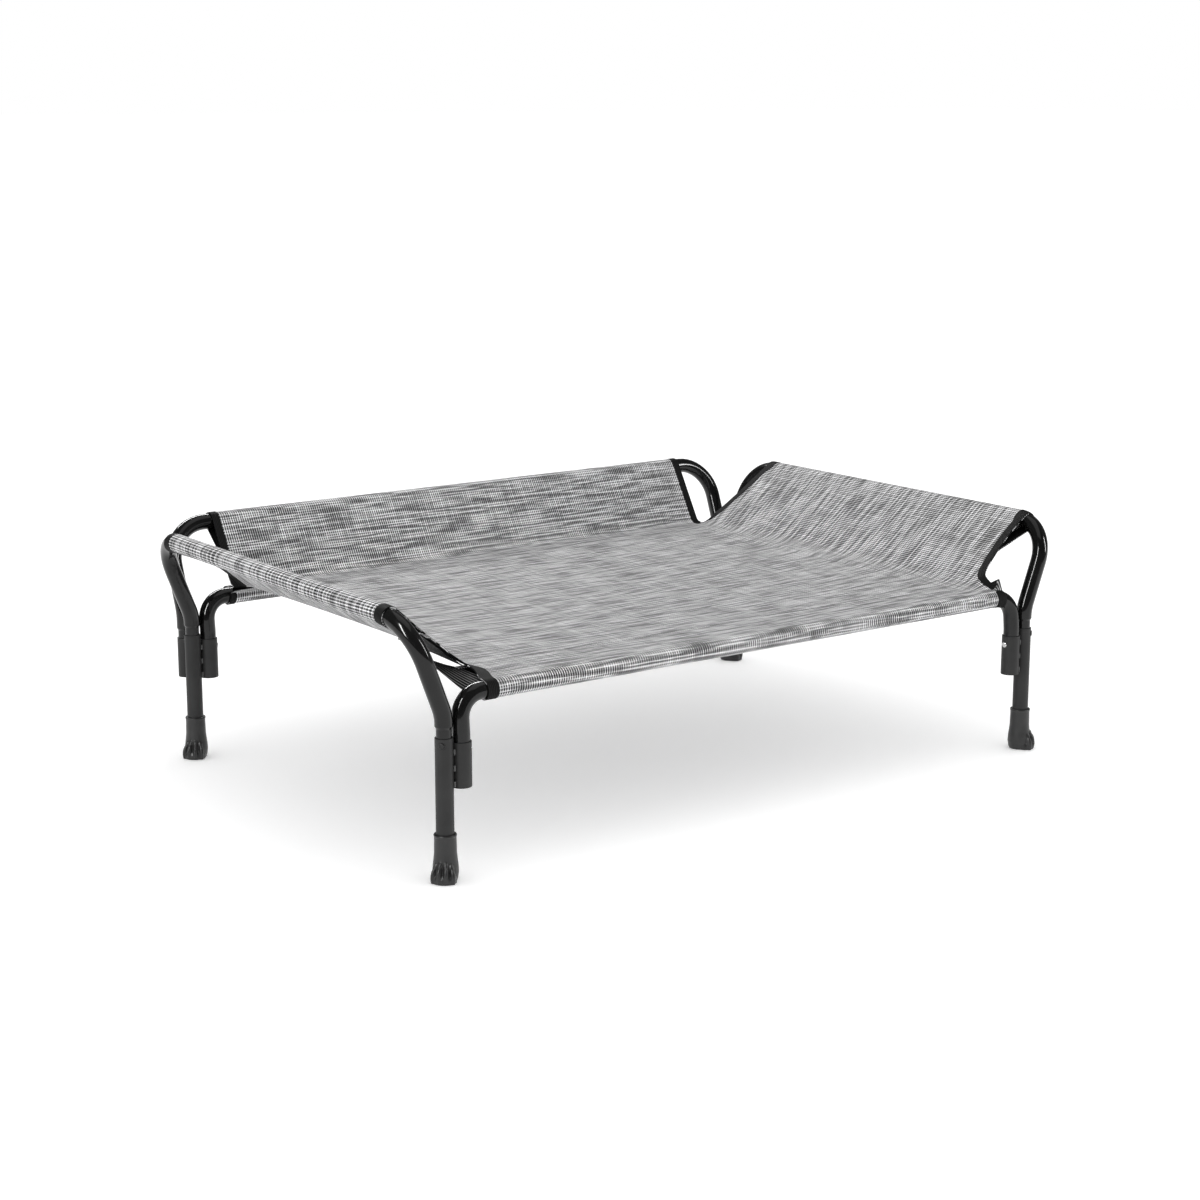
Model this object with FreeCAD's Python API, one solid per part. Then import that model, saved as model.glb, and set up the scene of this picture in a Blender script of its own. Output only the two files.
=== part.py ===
import FreeCAD, Part
import math
import os

from FreeCAD import Matrix, Placement, Rotation, Vector

# A raised dog bed: a steel tube frame that plugs together, with a woven sling cover
# that hangs between five bent rails. Millimetres. +X runs along the bed's long side,
# +Y to its back, +Z up. The origin is on the floor, in the middle of the bed's bounding box.

# ---------------------------------------------------------------- driving dimensions

leg_span_x = 970.0           # leg axis to leg axis along the bed
leg_span_y = 654.0           # leg axis to leg axis from front to back

tube_od = 22.2               # every leg and rail
tube_wall = 1.5
neck_od = 19.0               # swaged rail end that slides into a leg
neck_height = 14.0           # length of neck left visible above the joint
neck_taper = 3.0
neck_insert = 45.0           # length of neck inside the leg
leg_top = 176.0
leg_bottom = 6.0             # leg tube stands on the foot cap's web

socket_od = 25.4             # low-rail socket, takes a plain rail end
socket_top = 168.0
socket_bottom = 112.5
socket_insert = 48.0
weld_gap = 0.3               # seam between two tubes that are welded side by side
bead_r = 2.2
bead_length = 7.0
bead_side = 4.6              # from the seam's middle plane to a bead's axis
bead_drop = 14.0             # socket's rim down to the top bead's foot, clear of the leg's button
bead_rise = 2.0              # socket's lower end up to the bottom bead's foot

raised_rail_z = 320.0        # rail axis along the three raised sides
raised_lean = 20.8           # degrees outwards
raised_lean_z = 203.0        # height where the lean starts
raised_lean_radius = 60.0
raised_bend_radius = 56.0

low_rail_z = 224.0           # rail axis along the front and under the back crease
low_lean = 5.0               # degrees towards the back
low_lean_z = 178.0
low_lean_radius = 40.0
low_bend_radius = 30.0

cover_thickness = 1.2
cover_fit = 0.1              # gap between rail and sleeve
crease_x = 407.0             # where a side panel leaves the mat
cover_gap = 0.05             # between the cover's separate pieces
low_sleeve_end = 415.0       # half length of the front and back low sleeves with binding
side_sleeve_end = 264.0      # half length of the side sleeves with binding
back_sleeve_end = 416.0      # half length of the back sleeve with binding
crease_end = 306.0           # side panels' half length at the crease, with binding

binding_width = 17.0
binding_thickness = 2.0

button_od = 8.0
button_clearance = 0.05      # radial, in every hole it slides through
button_head = 1.2            # stands this far out of the tube
leg_button_z = 168.0
socket_button_z = 156.0
clip_width = 5.0
clip_thickness = 0.7
clip_height = 26.0

cap_height = 58.0
cap_lip = 2.5
cap_web = 6.0
toe_count = 4
toe_reach = 23.5             # from the leg axis to the toe tips
toe_fan = 26.0               # degrees between neighbouring toes
toe_half_length = 11.0
toe_half_width = 4.6
toe_half_height = 13.0
toe_centre_z = 8.0

# ---------------------------------------------------------------- derived places

tube_r = tube_od / 2
tube_bore_r = tube_r - tube_wall
neck_r = neck_od / 2
neck_bore_r = neck_r - tube_wall
socket_r = socket_od / 2
socket_bore_r = socket_r - tube_wall
sleeve_in_r = tube_r + cover_fit
sleeve_out_r = sleeve_in_r + cover_thickness
binding_out_r = sleeve_in_r + binding_thickness
mat_z = low_rail_z + sleeve_in_r
mat_top = mat_z + cover_thickness

leg_x = leg_span_x / 2
raised_shift = (raised_rail_z - raised_lean_z) * math.tan(math.radians(raised_lean))
low_shift = (low_rail_z - low_lean_z) * math.tan(math.radians(low_lean))
socket_offset = tube_r + socket_r + weld_gap
back_socket_offset = tube_od + weld_gap
socket_x = leg_x - socket_offset
side_rail_x = leg_x + raised_shift

# The bed reaches from the front toe tips to the back sleeve; the legs stand forward of the middle.
toe_spread = (toe_count - 1) / 2 * toe_fan
front_reach = leg_span_y / 2 + toe_reach * math.cos(math.radians(45.0 - toe_spread))
back_reach = leg_span_y / 2 + back_socket_offset + raised_shift + binding_out_r
legs_mid_y = (front_reach - back_reach) / 2
front_leg_y = legs_mid_y - leg_span_y / 2
back_leg_y = legs_mid_y + leg_span_y / 2
front_rail_y = front_leg_y + low_shift
back_low_rail_y = back_leg_y + low_shift
back_socket_y = back_leg_y + back_socket_offset
back_rail_y = back_socket_y + raised_shift

UP = Vector(0, 0, 1)

corners = {
    "front_left": (-1, -1),
    "front_right": (1, -1),
    "back_left": (-1, 1),
    "back_right": (1, 1),
}


def leg_y(side_y):
    """Leg axis in Y for the front (-1) or back (1) pair."""
    return front_leg_y if side_y < 0 else back_leg_y


def out_direction(side_x, side_y):
    """Unit vector that points diagonally out of a corner of the bed."""
    return Vector(side_x, side_y, 0).normalize()


# ---------------------------------------------------------------- shape helpers


def pipe(x, y, z0, z1, outer, inner):
    """Upright tube."""
    base = Vector(x, y, z0)
    outside = Part.makeCylinder(outer, z1 - z0, base)
    return outside.cut(Part.makeCylinder(inner, z1 - z0, base))


def rounded_wire(points, radii):
    """Polyline through the points with an arc of the given radius at each inner point."""
    edges = []
    start = points[0]
    for index in range(1, len(points) - 1):
        corner = points[index]
        back = (points[index - 1] - corner).normalize()
        ahead = (points[index + 1] - corner).normalize()
        half = back.getAngle(ahead) / 2
        cut = radii[index - 1] / math.tan(half)
        middle = (back + ahead).normalize()
        centre = corner + middle * (radii[index - 1] / math.sin(half))
        enter = corner + back * cut
        leave = corner + ahead * cut
        top = centre - middle * radii[index - 1]
        edges.append(Part.LineSegment(start, enter).toShape())
        edges.append(Part.Arc(enter, top, leave).toShape())
        start = leave
    edges.append(Part.LineSegment(start, points[-1]).toShape())
    return Part.Wire(edges)


def swept_tube(points, radii, outer, inner):
    """Hollow tube bent along a rounded polyline that starts straight up."""
    wire = rounded_wire(points, radii)
    solids = []
    for radius in (outer, inner):
        ring = Part.Wire([Part.Circle(points[0], UP, radius).toShape()])
        solids.append(wire.makePipeShell([ring], True, False))
    return solids[0].cut(solids[1])


def turned(profile, x, y):
    """Solid of revolution about an upright axis, from (radius, height) points."""
    points = [Vector(radius, 0, height) for radius, height in profile]
    face = Part.Face(Part.makePolygon(points + [points[0]]))
    solid = face.revolve(Vector(0, 0, 0), UP, 360)
    solid.translate(Vector(x, y, 0))
    return solid


def slab(corner_points, thickness_vector):
    """Flat sheet of cloth: a polygon pushed along its thickness."""
    face = Part.Face(Part.makePolygon(corner_points + [corner_points[0]]))
    return face.extrude(thickness_vector)


def ring_along(centre, direction, length, inner, outer):
    """Hollow sleeve around a straight rail."""
    outside = Part.makeCylinder(outer, length, centre, direction)
    return outside.cut(Part.makeCylinder(inner, length, centre, direction))


def radial_pin(x, y, z, direction, radius, r0, r1):
    """Cylinder that lies along a tube's radius from r0 to r1."""
    start = Vector(x, y, z) + direction * r0
    return Part.makeCylinder(radius, r1 - r0, start, direction)


def single(shape):
    """The one solid of a boolean result, with its split faces joined."""
    cleaned = shape.removeSplitter()
    return cleaned.Solids[0] if len(cleaned.Solids) == 1 else cleaned


nodes = {}

# ---------------------------------------------------------------- joints of the frame
# Each joint is where a rail plugs into an upright tube, with the snap button that locks it:
# place of the axis, height and direction of the button, wall radii that it passes.

joints = {}
for corner, (side_x, side_y) in corners.items():
    joints["leg_" + corner] = dict(
        x=side_x * leg_x, y=leg_y(side_y), z=leg_button_z,
        direction=out_direction(side_x, side_y), outside=tube_r, inside=neck_bore_r,
    )
    joints["low_" + corner] = dict(
        x=side_x * socket_x, y=leg_y(side_y), z=socket_button_z,
        direction=Vector(-side_x, 0, 0), outside=socket_r, inside=tube_bore_r,
    )
for side, side_x in (("left", -1), ("right", 1)):
    joints["rear_" + side] = dict(
        x=side_x * leg_x, y=back_socket_y, z=socket_button_z,
        direction=Vector(0, 1, 0), outside=tube_r, inside=neck_bore_r,
    )


def button_hole(name):
    """The hole that a joint's button slides in, through both tube walls."""
    place = joints[name]
    return radial_pin(place["x"], place["y"], place["z"], place["direction"],
                      button_od / 2 + button_clearance, place["inside"] - 2.0, place["outside"] + 2.0)


# ---------------------------------------------------------------- legs and sockets

for corner, (side_x, side_y) in corners.items():
    x = side_x * leg_x
    y = leg_y(side_y)
    leg = pipe(x, y, leg_bottom, leg_top, tube_r, tube_bore_r)
    nodes["leg_tube_" + corner] = leg.cut(button_hole("leg_" + corner))
    socket = pipe(side_x * socket_x, y, socket_bottom, socket_top, socket_r, socket_bore_r)
    nodes["low_socket_" + corner] = socket.cut(button_hole("low_" + corner))

for side, side_x in (("left", -1), ("right", 1)):
    socket = pipe(side_x * leg_x, back_socket_y, socket_bottom, socket_top, tube_r, tube_bore_r)
    nodes["back_socket_" + side] = socket.cut(button_hole("rear_" + side))


def weld_beads(x, y, direction, reach_a, reach_b):
    """Three short beads down both grooves between a leg and the tube beside it."""
    across = direction.cross(UP)
    groove = Vector(x, y, 0) + direction * (reach_a + weld_gap / 2)
    solids = []
    top = socket_top - bead_drop
    bottom = socket_bottom + bead_rise
    for height in (top, (top + bottom) / 2, bottom):
        for hand in (-1, 1):
            foot = groove + across * (hand * bead_side) + UP * height
            bead = Part.makeCylinder(bead_r, bead_length, foot)
            bead = bead.cut(Part.makeCylinder(reach_a, bead_length, Vector(x, y, height)))
            partner = Vector(x, y, height) + direction * (reach_a + reach_b + weld_gap)
            bead = bead.cut(Part.makeCylinder(reach_b, bead_length, partner))
            solids.extend(bead.Solids)
    return solids


for corner, (side_x, side_y) in corners.items():
    x = side_x * leg_x
    y = leg_y(side_y)
    beads = weld_beads(x, y, Vector(-side_x, 0, 0), tube_r, socket_r)
    if side_y > 0:
        beads.extend(weld_beads(x, y, Vector(0, 1, 0), tube_r, tube_r))
    nodes["weld_beads_" + corner] = Part.makeCompound(beads)


# ---------------------------------------------------------------- rails


def rail(end_a, end_b, lean_direction, lean, lean_z, rail_z, z_foot, radii, outer, inner):
    """A U of tube: two upright ends that lean over together, joined by a straight run."""
    shift = lean_direction * ((rail_z - lean_z) * math.tan(math.radians(lean)))
    points = [
        Vector(end_a.x, end_a.y, z_foot),
        Vector(end_a.x, end_a.y, lean_z),
        Vector(end_a.x, end_a.y, rail_z) + shift,
        Vector(end_b.x, end_b.y, rail_z) + shift,
        Vector(end_b.x, end_b.y, lean_z),
        Vector(end_b.x, end_b.y, z_foot),
    ]
    return swept_tube(points, radii, outer, inner)


def swaged_end(x, y, joint_top):
    """The reduced end of a raised rail: taper, visible neck and the part inside the leg."""
    shoulder = joint_top + neck_height
    foot = joint_top - neck_insert
    profile = [
        (neck_bore_r, foot),
        (neck_r, foot),
        (neck_r, shoulder - neck_taper),
        (tube_r, shoulder),
        (tube_bore_r, shoulder),
        (neck_bore_r, shoulder - neck_taper),
    ]
    return turned(profile, x, y)


def raised_rail(end_a, end_b, lean_direction, joint_top, joint_names):
    """A raised rail with both swaged ends and its button holes."""
    radii = [raised_lean_radius, raised_bend_radius, raised_bend_radius, raised_lean_radius]
    body = rail(end_a, end_b, lean_direction, raised_lean, raised_lean_z, raised_rail_z,
                joint_top + neck_height, radii, tube_r, tube_bore_r)
    for end in (end_a, end_b):
        body = body.fuse(swaged_end(end.x, end.y, joint_top))
    for name in joint_names:
        body = body.cut(button_hole(name))
    return single(body)


def low_rail(side_y, joint_names):
    """A low rail with plain ends that stand in the wide sockets."""
    y = leg_y(side_y)
    radii = [low_lean_radius, low_bend_radius, low_bend_radius, low_lean_radius]
    body = rail(Vector(-socket_x, y, 0), Vector(socket_x, y, 0), Vector(0, 1, 0),
                low_lean, low_lean_z, low_rail_z, socket_top - socket_insert,
                radii, tube_r, tube_bore_r)
    for name in joint_names:
        body = body.cut(button_hole(name))
    return body


for side, side_x in (("left", -1), ("right", 1)):
    nodes["side_rail_" + side] = raised_rail(
        Vector(side_x * leg_x, front_leg_y, 0), Vector(side_x * leg_x, back_leg_y, 0),
        Vector(side_x, 0, 0), leg_top, ["leg_front_" + side, "leg_back_" + side])

nodes["back_rail"] = raised_rail(
    Vector(-leg_x, back_socket_y, 0), Vector(leg_x, back_socket_y, 0),
    Vector(0, 1, 0), socket_top, ["rear_left", "rear_right"])

nodes["front_low_rail"] = low_rail(-1, ["low_front_left", "low_front_right"])
nodes["back_low_rail"] = low_rail(1, ["low_back_left", "low_back_right"])


# ---------------------------------------------------------------- snap buttons and clips


def snap_button(place):
    """Round pin with a domed head, standing out of the tube wall."""
    radius = button_od / 2
    tip = place["outside"] + button_head
    pin = radial_pin(place["x"], place["y"], place["z"], place["direction"],
                     radius, place["inside"] - 1.0, tip)
    rim = max(pin.Edges, key=lambda edge: edge.CenterOfMass.dot(place["direction"]))
    return pin.makeFillet(button_head, [rim])


def spring_clip(place):
    """U of spring steel inside the rail's end; one leg pushes the button out."""
    reach = place["inside"] - 1.2
    outer_loop = Part.makeCylinder(reach, clip_width, Vector(0, -clip_width / 2, 0), Vector(0, 1, 0))
    inner_r = reach - clip_thickness
    inner_loop = Part.makeCylinder(inner_r, clip_width, Vector(0, -clip_width / 2, 0), Vector(0, 1, 0))
    below = Part.makeBox(2 * reach, clip_width, reach, Vector(-reach, -clip_width / 2, -reach))
    bow = outer_loop.cut(inner_loop).cut(below)
    leg_height = clip_height - reach
    legs = [
        Part.makeBox(clip_thickness, clip_width, leg_height,
                     Vector(offset, -clip_width / 2, -leg_height))
        for offset in (inner_r, -reach)
    ]
    clip = single(bow.fuse(legs))
    turn = Rotation(Vector(1, 0, 0), place["direction"])
    bow_z = place["z"] + leg_height - button_od / 2
    clip.Placement = Placement(Vector(place["x"], place["y"], bow_z), turn)
    return clip


for name, place in joints.items():
    nodes["snap_button_" + name] = snap_button(place)
    nodes["spring_clip_" + name] = spring_clip(place)


# ---------------------------------------------------------------- foot caps


def toe():
    """One rounded toe that points along +X; the floor cuts its underside flat."""
    ball = Part.makeSphere(1.0)
    stretch = Matrix()
    stretch.scale(Vector(toe_half_length, toe_half_width, toe_half_height))
    stretch.move(Vector(toe_reach - toe_half_length, 0, toe_centre_z))
    return ball.transformGeometry(stretch)


def foot_cap(x, y, side_x, side_y):
    """Rubber cap shaped like a paw, pushed over the foot of a leg."""
    grip = tube_r + 0.02
    profile = [
        (0, 0), (11.5, 0), (14.6, 4.0), (15.8, 11.0), (14.6, 22.0), (13.8, 32.0), (13.4, cap_height - cap_lip),
        (14.0, cap_height - cap_lip), (14.0, cap_height - 0.6), (13.2, cap_height),
        (grip, cap_height), (grip, cap_web), (0, cap_web),
    ]
    cap = turned(profile, 0, 0)
    floor_cut = Part.makeBox(80, 80, 20, Vector(-40, -40, -20))
    bore = Part.makeCylinder(grip, cap_height, Vector(0, 0, cap_web))
    for index in range(toe_count):
        angle = (index - (toe_count - 1) / 2) * toe_fan
        digit = toe()
        digit.rotate(Vector(0, 0, 0), UP, angle)
        cap = cap.fuse(digit)
    cap = cap.cut(floor_cut).cut(bore)
    cap.rotate(Vector(0, 0, 0), UP, math.degrees(math.atan2(side_y, side_x)))
    cap.translate(Vector(x, y, 0))
    return cap


# The toes of all four feet point forwards and outwards.
for corner, (side_x, side_y) in corners.items():
    nodes["foot_cap_" + corner] = foot_cap(side_x * leg_x, leg_y(side_y), side_x, -1)


# ---------------------------------------------------------------- woven cover
# Flat mat between the low rails, and three panels that rise from creases to the raised rails.

# Each sheet stops where it would meet the ring of its sleeve.


def sleeve_lap(ring_out_r):
    """How far before its touching point a sheet has to stop to stay clear of a sleeve's ring."""
    return math.sqrt(ring_out_r ** 2 - sleeve_in_r ** 2) + cover_gap


sheet_lap = sleeve_lap(binding_out_r)
mat_front_y = front_rail_y + sheet_lap
mat_back_y = back_low_rail_y - sheet_lap
nodes["cover_mat"] = slab(
    [Vector(-crease_x, mat_front_y, mat_z), Vector(crease_x, mat_front_y, mat_z),
     Vector(crease_x, mat_back_y, mat_z), Vector(-crease_x, mat_back_y, mat_z)],
    Vector(0, 0, cover_thickness))


def tangent_point(foot, centre, radius, lap):
    """End of a line from foot to a circle's upper side, lap short of the touch, in (u, z)."""
    du = centre[0] - foot[0]
    dz = centre[1] - foot[1]
    distance = math.hypot(du, dz)
    swing = math.asin(radius / distance)
    heading = math.atan2(dz, du) + swing
    run = math.sqrt(distance ** 2 - radius ** 2) - lap
    return foot[0] + run * math.cos(heading), foot[1] + run * math.sin(heading), heading


def panel_line(foot_u, rail_u):
    """Underside of a panel in (u, z): crease point, upper end and direction."""
    foot = (foot_u, mat_top + cover_gap)
    return foot, tangent_point(foot, (rail_u, raised_rail_z), sleeve_in_r, sheet_lap)


def side_panel(side_x, crease_span, rail_span, thickness):
    """Panel of a short side; each span is its (from, to) along Y, measured from the legs' middle."""
    foot, (touch_u, touch_z, heading) = panel_line(crease_x, side_rail_x)
    normal = Vector(-side_x * math.sin(heading), 0, math.cos(heading))
    low = [Vector(side_x * foot[0], legs_mid_y + y, foot[1]) for y in crease_span]
    high = [Vector(side_x * touch_u, legs_mid_y + y, touch_z) for y in rail_span]
    return slab([low[0], low[1], high[1], high[0]], normal * thickness)


def back_panel(crease_span, rail_span, thickness):
    """Panel of the long back side; each span is its (from, to) along X."""
    foot, (touch_u, touch_z, heading) = panel_line(back_low_rail_y, back_rail_y)
    normal = Vector(0, -math.sin(heading), math.cos(heading))
    low = [Vector(x, foot[0], foot[1]) for x in crease_span]
    high = [Vector(x, touch_u, touch_z) for x in rail_span]
    return slab([low[0], low[1], high[1], high[0]], normal * thickness)


cloth_crease_end = crease_end - binding_width
cloth_side_end = side_sleeve_end - binding_width
cloth_back_end = back_sleeve_end - binding_width
cloth_low_end = low_sleeve_end - binding_width
cloth_back_crease_end = crease_x - binding_width

for side, side_x in (("left", -1), ("right", 1)):
    nodes["cover_panel_" + side] = side_panel(
        side_x, (-cloth_crease_end, cloth_crease_end), (-cloth_side_end, cloth_side_end), cover_thickness)
    nodes["sleeve_" + side] = ring_along(
        Vector(side_x * side_rail_x, legs_mid_y - cloth_side_end, raised_rail_z), Vector(0, 1, 0),
        2 * cloth_side_end, sleeve_in_r, sleeve_out_r)

nodes["cover_panel_back"] = back_panel(
    (-cloth_back_crease_end, cloth_back_crease_end), (-cloth_back_end, cloth_back_end), cover_thickness)
for name, y, z, end in (
        ("sleeve_back", back_rail_y, raised_rail_z, cloth_back_end),
        ("sleeve_front_low", front_rail_y, low_rail_z, cloth_low_end),
        ("sleeve_back_low", back_low_rail_y, low_rail_z, cloth_low_end)):
    nodes[name] = ring_along(Vector(-end, y, z), Vector(1, 0, 0), 2 * end, sleeve_in_r, sleeve_out_r)


# ---------------------------------------------------------------- black binding at the corners


def mirrored(shape, side_x):
    """The shape for the right side, or its mirror image for the left side."""
    return shape if side_x > 0 else shape.mirror(Vector(0, 0, 0), Vector(1, 0, 0))


def side_binding(side_y):
    """Edge strip of the right side panel and the ring at its sleeve's end."""
    low = sorted((side_y * (cloth_crease_end + cover_gap), side_y * crease_end))
    high = sorted((side_y * (cloth_side_end + cover_gap), side_y * side_sleeve_end))
    strip = side_panel(1, low, high, binding_thickness)
    ring = ring_along(Vector(side_rail_x, legs_mid_y + high[0], raised_rail_z), Vector(0, 1, 0),
                      high[1] - high[0], sleeve_in_r, binding_out_r)
    return [strip, ring]


def low_ring(rail_y):
    """Ring at the right end of a low sleeve."""
    start = cloth_low_end + cover_gap
    return ring_along(Vector(start, rail_y, low_rail_z), Vector(1, 0, 0),
                      low_sleeve_end - start, sleeve_in_r, binding_out_r)


def back_binding():
    """Right edge strip of the back panel and the ring at the back sleeve's end."""
    crease_start = cloth_back_crease_end + cover_gap
    start = cloth_back_end + cover_gap
    strip = back_panel((crease_start, crease_x), (start, back_sleeve_end), binding_thickness)
    ring = ring_along(Vector(start, back_rail_y, raised_rail_z), Vector(1, 0, 0),
                      back_sleeve_end - start, sleeve_in_r, binding_out_r)
    return [strip, ring]


for corner, (side_x, side_y) in corners.items():
    rail_y = front_rail_y if side_y < 0 else back_low_rail_y
    pieces = side_binding(side_y) + [low_ring(rail_y)]
    if side_y > 0:
        pieces.extend(back_binding())
    solids = []
    for piece in pieces:
        solids.extend(mirrored(piece, side_x).Solids)
    nodes["binding_" + corner] = Part.makeCompound(solids)


# ---------------------------------------------------------------- write one STEP per node

os.makedirs("parts", exist_ok=True)
for name, shape in nodes.items():
    shape.exportStep("parts/" + name + ".step")
print(len(nodes), "nodes")
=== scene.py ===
import math

import bpy
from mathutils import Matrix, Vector


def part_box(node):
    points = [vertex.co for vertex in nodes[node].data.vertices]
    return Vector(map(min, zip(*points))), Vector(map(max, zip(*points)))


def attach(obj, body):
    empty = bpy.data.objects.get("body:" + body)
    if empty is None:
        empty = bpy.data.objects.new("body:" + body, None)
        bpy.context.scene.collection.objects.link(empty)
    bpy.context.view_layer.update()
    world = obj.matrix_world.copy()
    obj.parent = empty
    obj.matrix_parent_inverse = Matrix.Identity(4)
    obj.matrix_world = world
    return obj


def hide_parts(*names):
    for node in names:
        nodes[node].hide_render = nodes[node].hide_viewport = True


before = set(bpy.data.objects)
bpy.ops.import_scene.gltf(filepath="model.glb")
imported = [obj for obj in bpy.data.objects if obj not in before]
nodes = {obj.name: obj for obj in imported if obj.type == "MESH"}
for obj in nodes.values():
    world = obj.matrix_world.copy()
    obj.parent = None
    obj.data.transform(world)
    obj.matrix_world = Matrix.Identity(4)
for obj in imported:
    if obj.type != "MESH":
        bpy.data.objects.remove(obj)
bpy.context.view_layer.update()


# Studio: a plain pale floor in a white surround that shows dim in gloss, as black flags
# make it, with a broad panel overhead and narrow strips left, right and behind for edges.
def studio():
    bpy.ops.object.select_all(action="DESELECT")
    bpy.ops.mesh.primitive_plane_add(size=160.0, location=(0.0, 0.0, -0.0006))
    floor = bpy.context.object
    floor.name = "floor"
    bpy.ops.object.transform_apply(location=True, rotation=True, scale=True)
    paint = bpy.data.materials.new("floor_white")
    paint.use_nodes = True
    shader = paint.node_tree.nodes["Principled BSDF"]
    shader.inputs["Base Color"].default_value = (0.995, 0.995, 0.995, 1.0)
    shader.inputs["Roughness"].default_value = 1.0
    shader.inputs["Specular IOR Level"].default_value = 0.0
    shader.inputs["Emission Color"].default_value = (1.0, 1.0, 1.0, 1.0)
    shader.inputs["Emission Strength"].default_value = 0.22
    floor.data.materials.append(paint)

    world = bpy.data.worlds.new("white_room")
    world.use_nodes = True
    surround = world.node_tree.nodes["Background"]
    surround.inputs["Color"].default_value = (1.0, 1.0, 1.0, 1.0)
    rays = world.node_tree.nodes.new("ShaderNodeLightPath")
    dim = world.node_tree.nodes.new("ShaderNodeMapRange")
    dim.inputs["To Min"].default_value = 1.0
    dim.inputs["To Max"].default_value = 0.12
    world.node_tree.links.new(rays.outputs["Is Glossy Ray"], dim.inputs["Value"])
    world.node_tree.links.new(dim.outputs["Result"], surround.inputs["Strength"])
    scene = bpy.context.scene
    scene.world = world
    scene.view_settings.view_transform = "Standard"

    panels = (
        ("panel_overhead", (0.2, -0.2, 2.6), (0.0, 0.0, 0.2), 2.4, 1.8, 10.0),
        ("strip_left", (-2.9, -1.0, 1.9), (0.0, 0.0, 0.3), 0.34, 2.2, 90.0),
        ("strip_right", (2.6, -2.4, 1.8), (0.2, 0.0, 0.3), 0.30, 2.0, 60.0),
        ("strip_behind", (0.4, 2.6, 2.2), (0.0, 0.0, 0.3), 2.6, 0.30, 80.0),
    )
    for name, place, target, width, height, watts in panels:
        bpy.ops.object.light_add(type="AREA", location=place)
        light = bpy.context.object
        light.name = name
        light.data.shape = "RECTANGLE"
        light.data.size = width
        light.data.size_y = height
        light.data.energy = watts
        light.visible_diffuse = name == "panel_overhead"
        aim = Vector(target) - Vector(place)
        light.rotation_euler = aim.to_track_quat("-Z", "Y").to_euler()


studio()

bpy.ops.object.camera_add(
    location=(-1.8905, -2.5882, 0.9196),
    rotation=(math.radians(77.61), 0.0, math.radians(-36.18)),
)
bpy.context.object.name = "camera"
bpy.context.object.data.lens = 69.69
bpy.context.object.data.sensor_width = 36.0
bpy.context.object.data.clip_end = 200.0
bpy.context.scene.camera = bpy.context.object


# Frame tubes: welded steel tube, powder coated black. Uprights are satin; the rails are
# glossier. Both show the coat's faint orange peel, specks and a little uneven gloss.
def link(tree, source, output, target, entry):
    tree.links.new(source.outputs[output], target.inputs[entry])


def object_noise(tree, scale, detail, stretch=(1.0, 1.0, 1.0)):
    place = tree.nodes.new("ShaderNodeTexCoord")
    turn = tree.nodes.new("ShaderNodeMapping")
    turn.inputs["Scale"].default_value = stretch
    noise = tree.nodes.new("ShaderNodeTexNoise")
    noise.inputs["Scale"].default_value = scale
    noise.inputs["Detail"].default_value = detail
    link(tree, place, "Object", turn, "Vector")
    link(tree, turn, "Vector", noise, "Vector")
    return noise


def ramp(tree, source, output, stops):
    scale = tree.nodes.new("ShaderNodeValToRGB")
    elements = scale.color_ramp.elements
    while len(elements) < len(stops):
        elements.new(0.5)
    for element, (position, colour) in zip(elements, stops):
        element.position = position
        element.color = (*colour, 1.0)
    link(tree, source, output, scale, "Fac")
    return scale


def grey(value):
    return (value, value, value)


def new_material(name):
    material = bpy.data.materials.new(name)
    material.use_nodes = True
    tree = material.node_tree
    return material, tree, tree.nodes["Principled BSDF"]


def uneven_gloss(tree, source, shader, rough_low, rough_high):
    gloss = tree.nodes.new("ShaderNodeMapRange")
    gloss.inputs["To Min"].default_value = rough_low
    gloss.inputs["To Max"].default_value = rough_high
    link(tree, source, "Fac", gloss, "Value")
    link(tree, gloss, "Result", shader, "Roughness")


def relief(tree, source, output, shader, strength, distance):
    bump = tree.nodes.new("ShaderNodeBump")
    bump.inputs["Strength"].default_value = strength
    bump.inputs["Distance"].default_value = distance
    link(tree, source, output, bump, "Height")
    link(tree, bump, "Normal", shader, "Normal")


def powder_coat(name, dark, light, rough_low, rough_high, sheen, coat, peel):
    coat_material, tree, shader = new_material(name)
    shader.inputs["Coat Weight"].default_value = coat
    shader.inputs["Coat Roughness"].default_value = 0.05
    shader.inputs["Specular IOR Level"].default_value = sheen
    cloud = object_noise(tree, 22.0, 3.0)
    tint = ramp(tree, cloud, "Fac", [(0.35, grey(dark)), (0.7, grey(light))])
    specks = object_noise(tree, 900.0, 2.0)
    dust = ramp(tree, specks, "Fac", [(0.70, grey(0.0)), (0.78, grey(0.05))])
    mix = tree.nodes.new("ShaderNodeMix")
    mix.data_type = "RGBA"
    mix.blend_type = "ADD"
    mix.inputs["Factor"].default_value = 1.0
    tree.links.new(tint.outputs["Color"], mix.inputs[6])
    tree.links.new(dust.outputs["Color"], mix.inputs[7])
    tree.links.new(mix.outputs[2], shader.inputs["Base Color"])
    uneven_gloss(tree, cloud, shader, rough_low, rough_high)
    relief(tree, object_noise(tree, 420.0, 2.0), "Fac", shader, peel, 0.0003)
    return coat_material


def dress(node_names, material):
    for node_name in node_names:
        skin = nodes[node_name].data
        for index in range(len(skin.materials)):
            skin.materials[index] = material


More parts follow.
